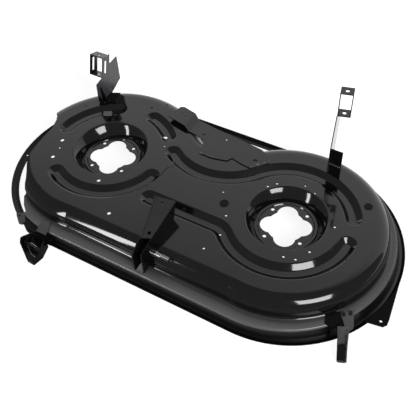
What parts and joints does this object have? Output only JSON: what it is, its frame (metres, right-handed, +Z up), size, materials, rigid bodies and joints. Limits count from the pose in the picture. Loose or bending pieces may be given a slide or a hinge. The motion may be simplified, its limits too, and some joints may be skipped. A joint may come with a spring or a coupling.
{
  "type": "lawn mower deck",
  "caption": "Pressed steel shell for a two-blade lawn mower, with rounded ends, recessed spindle cups, pressed grooves, a lower rim rail, hangers and brackets.",
  "frame": {"origin": "middle of the part's outline, at the underside of the rim rail", "axes": "+Z up, +X along the deck's length towards the closed end, away from the discharge opening, -Y to the front"},
  "size_m": [1.1455, 0.6679, 0.348],
  "materials": {
    "black_paint": "gloss",
    "black_plastic": "satin",
    "bright_steel": "zinc plated"
  },
  "bodies": {
    "root": {"deck_plug_middle": "black_plastic", "deck_plug_rear": "black_plastic", "deck_shell": "black_paint", "front_hanger_channel": "black_paint", "front_hanger_ears": "black_paint", "front_pin": "bright_steel", "front_pin_boss": "black_paint", "groove_tab": "black_paint", "left_bracket_arm": "black_paint", "left_bracket_box": "black_paint", "left_bracket_pin": "bright_steel", "left_bracket_plate": "black_paint", "left_bracket_stack": "black_plastic", "left_bracket_tab": "black_paint", "left_hanger_blade": "black_paint", "left_hanger_foot": "black_paint", "left_hanger_gusset": "black_paint", "left_hanger_head": "black_paint", "rear_bridge_plate": "black_paint", "right_bracket_arm": "black_paint", "right_bracket_bolts": "bright_steel", "right_bracket_clip": "black_paint", "right_bracket_plate": "black_paint", "right_hanger_head": "black_paint", "right_hanger_plate": "black_paint", "right_hanger_stem": "black_paint", "rim_rail": "black_paint", "side_guard_plate": "black_paint"}
  },
  "joints": []
}
